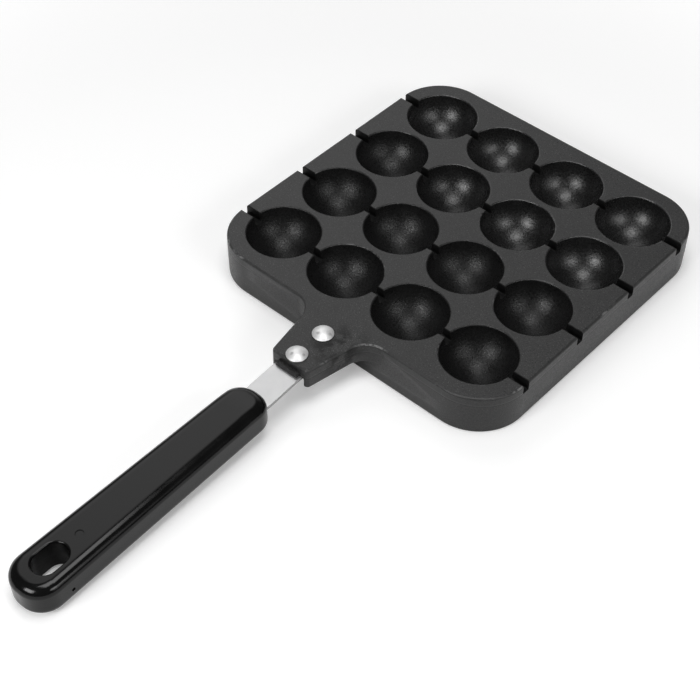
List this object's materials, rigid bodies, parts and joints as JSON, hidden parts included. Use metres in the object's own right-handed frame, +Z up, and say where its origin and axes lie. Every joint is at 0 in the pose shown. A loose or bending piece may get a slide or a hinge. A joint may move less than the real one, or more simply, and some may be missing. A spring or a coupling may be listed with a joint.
{
  "type": "takoyaki pan",
  "caption": "Square stove-top takoyaki pan of cast aluminium with hemispherical wells joined by pick grooves, and a riveted steel tang in a black phenolic handle with a hanging eye.",
  "frame": {"origin": "on the plane that the pan stands on, under the middle of the whole length, pan and handle together", "axes": "+Z up out of the wells, +Y from the handle towards the pan, +X along the pick grooves"},
  "size_m": [0.1846, 0.3876, 0.0259],
  "materials": {
    "nonstick_aluminium": "cast aluminium under a dark grey speckled non-stick coating, low sheen",
    "steel": "plated steel strip, satin",
    "rivet_aluminium": "bright, polished head",
    "phenolic": "black moulded phenolic, glossy"
  },
  "bodies": {
    "root": {"pan_casting": "nonstick_aluminium", "tang": "steel", "inner_rivet": "rivet_aluminium", "outer_rivet": "rivet_aluminium", "handle": "phenolic"}
  },
  "joints": []
}
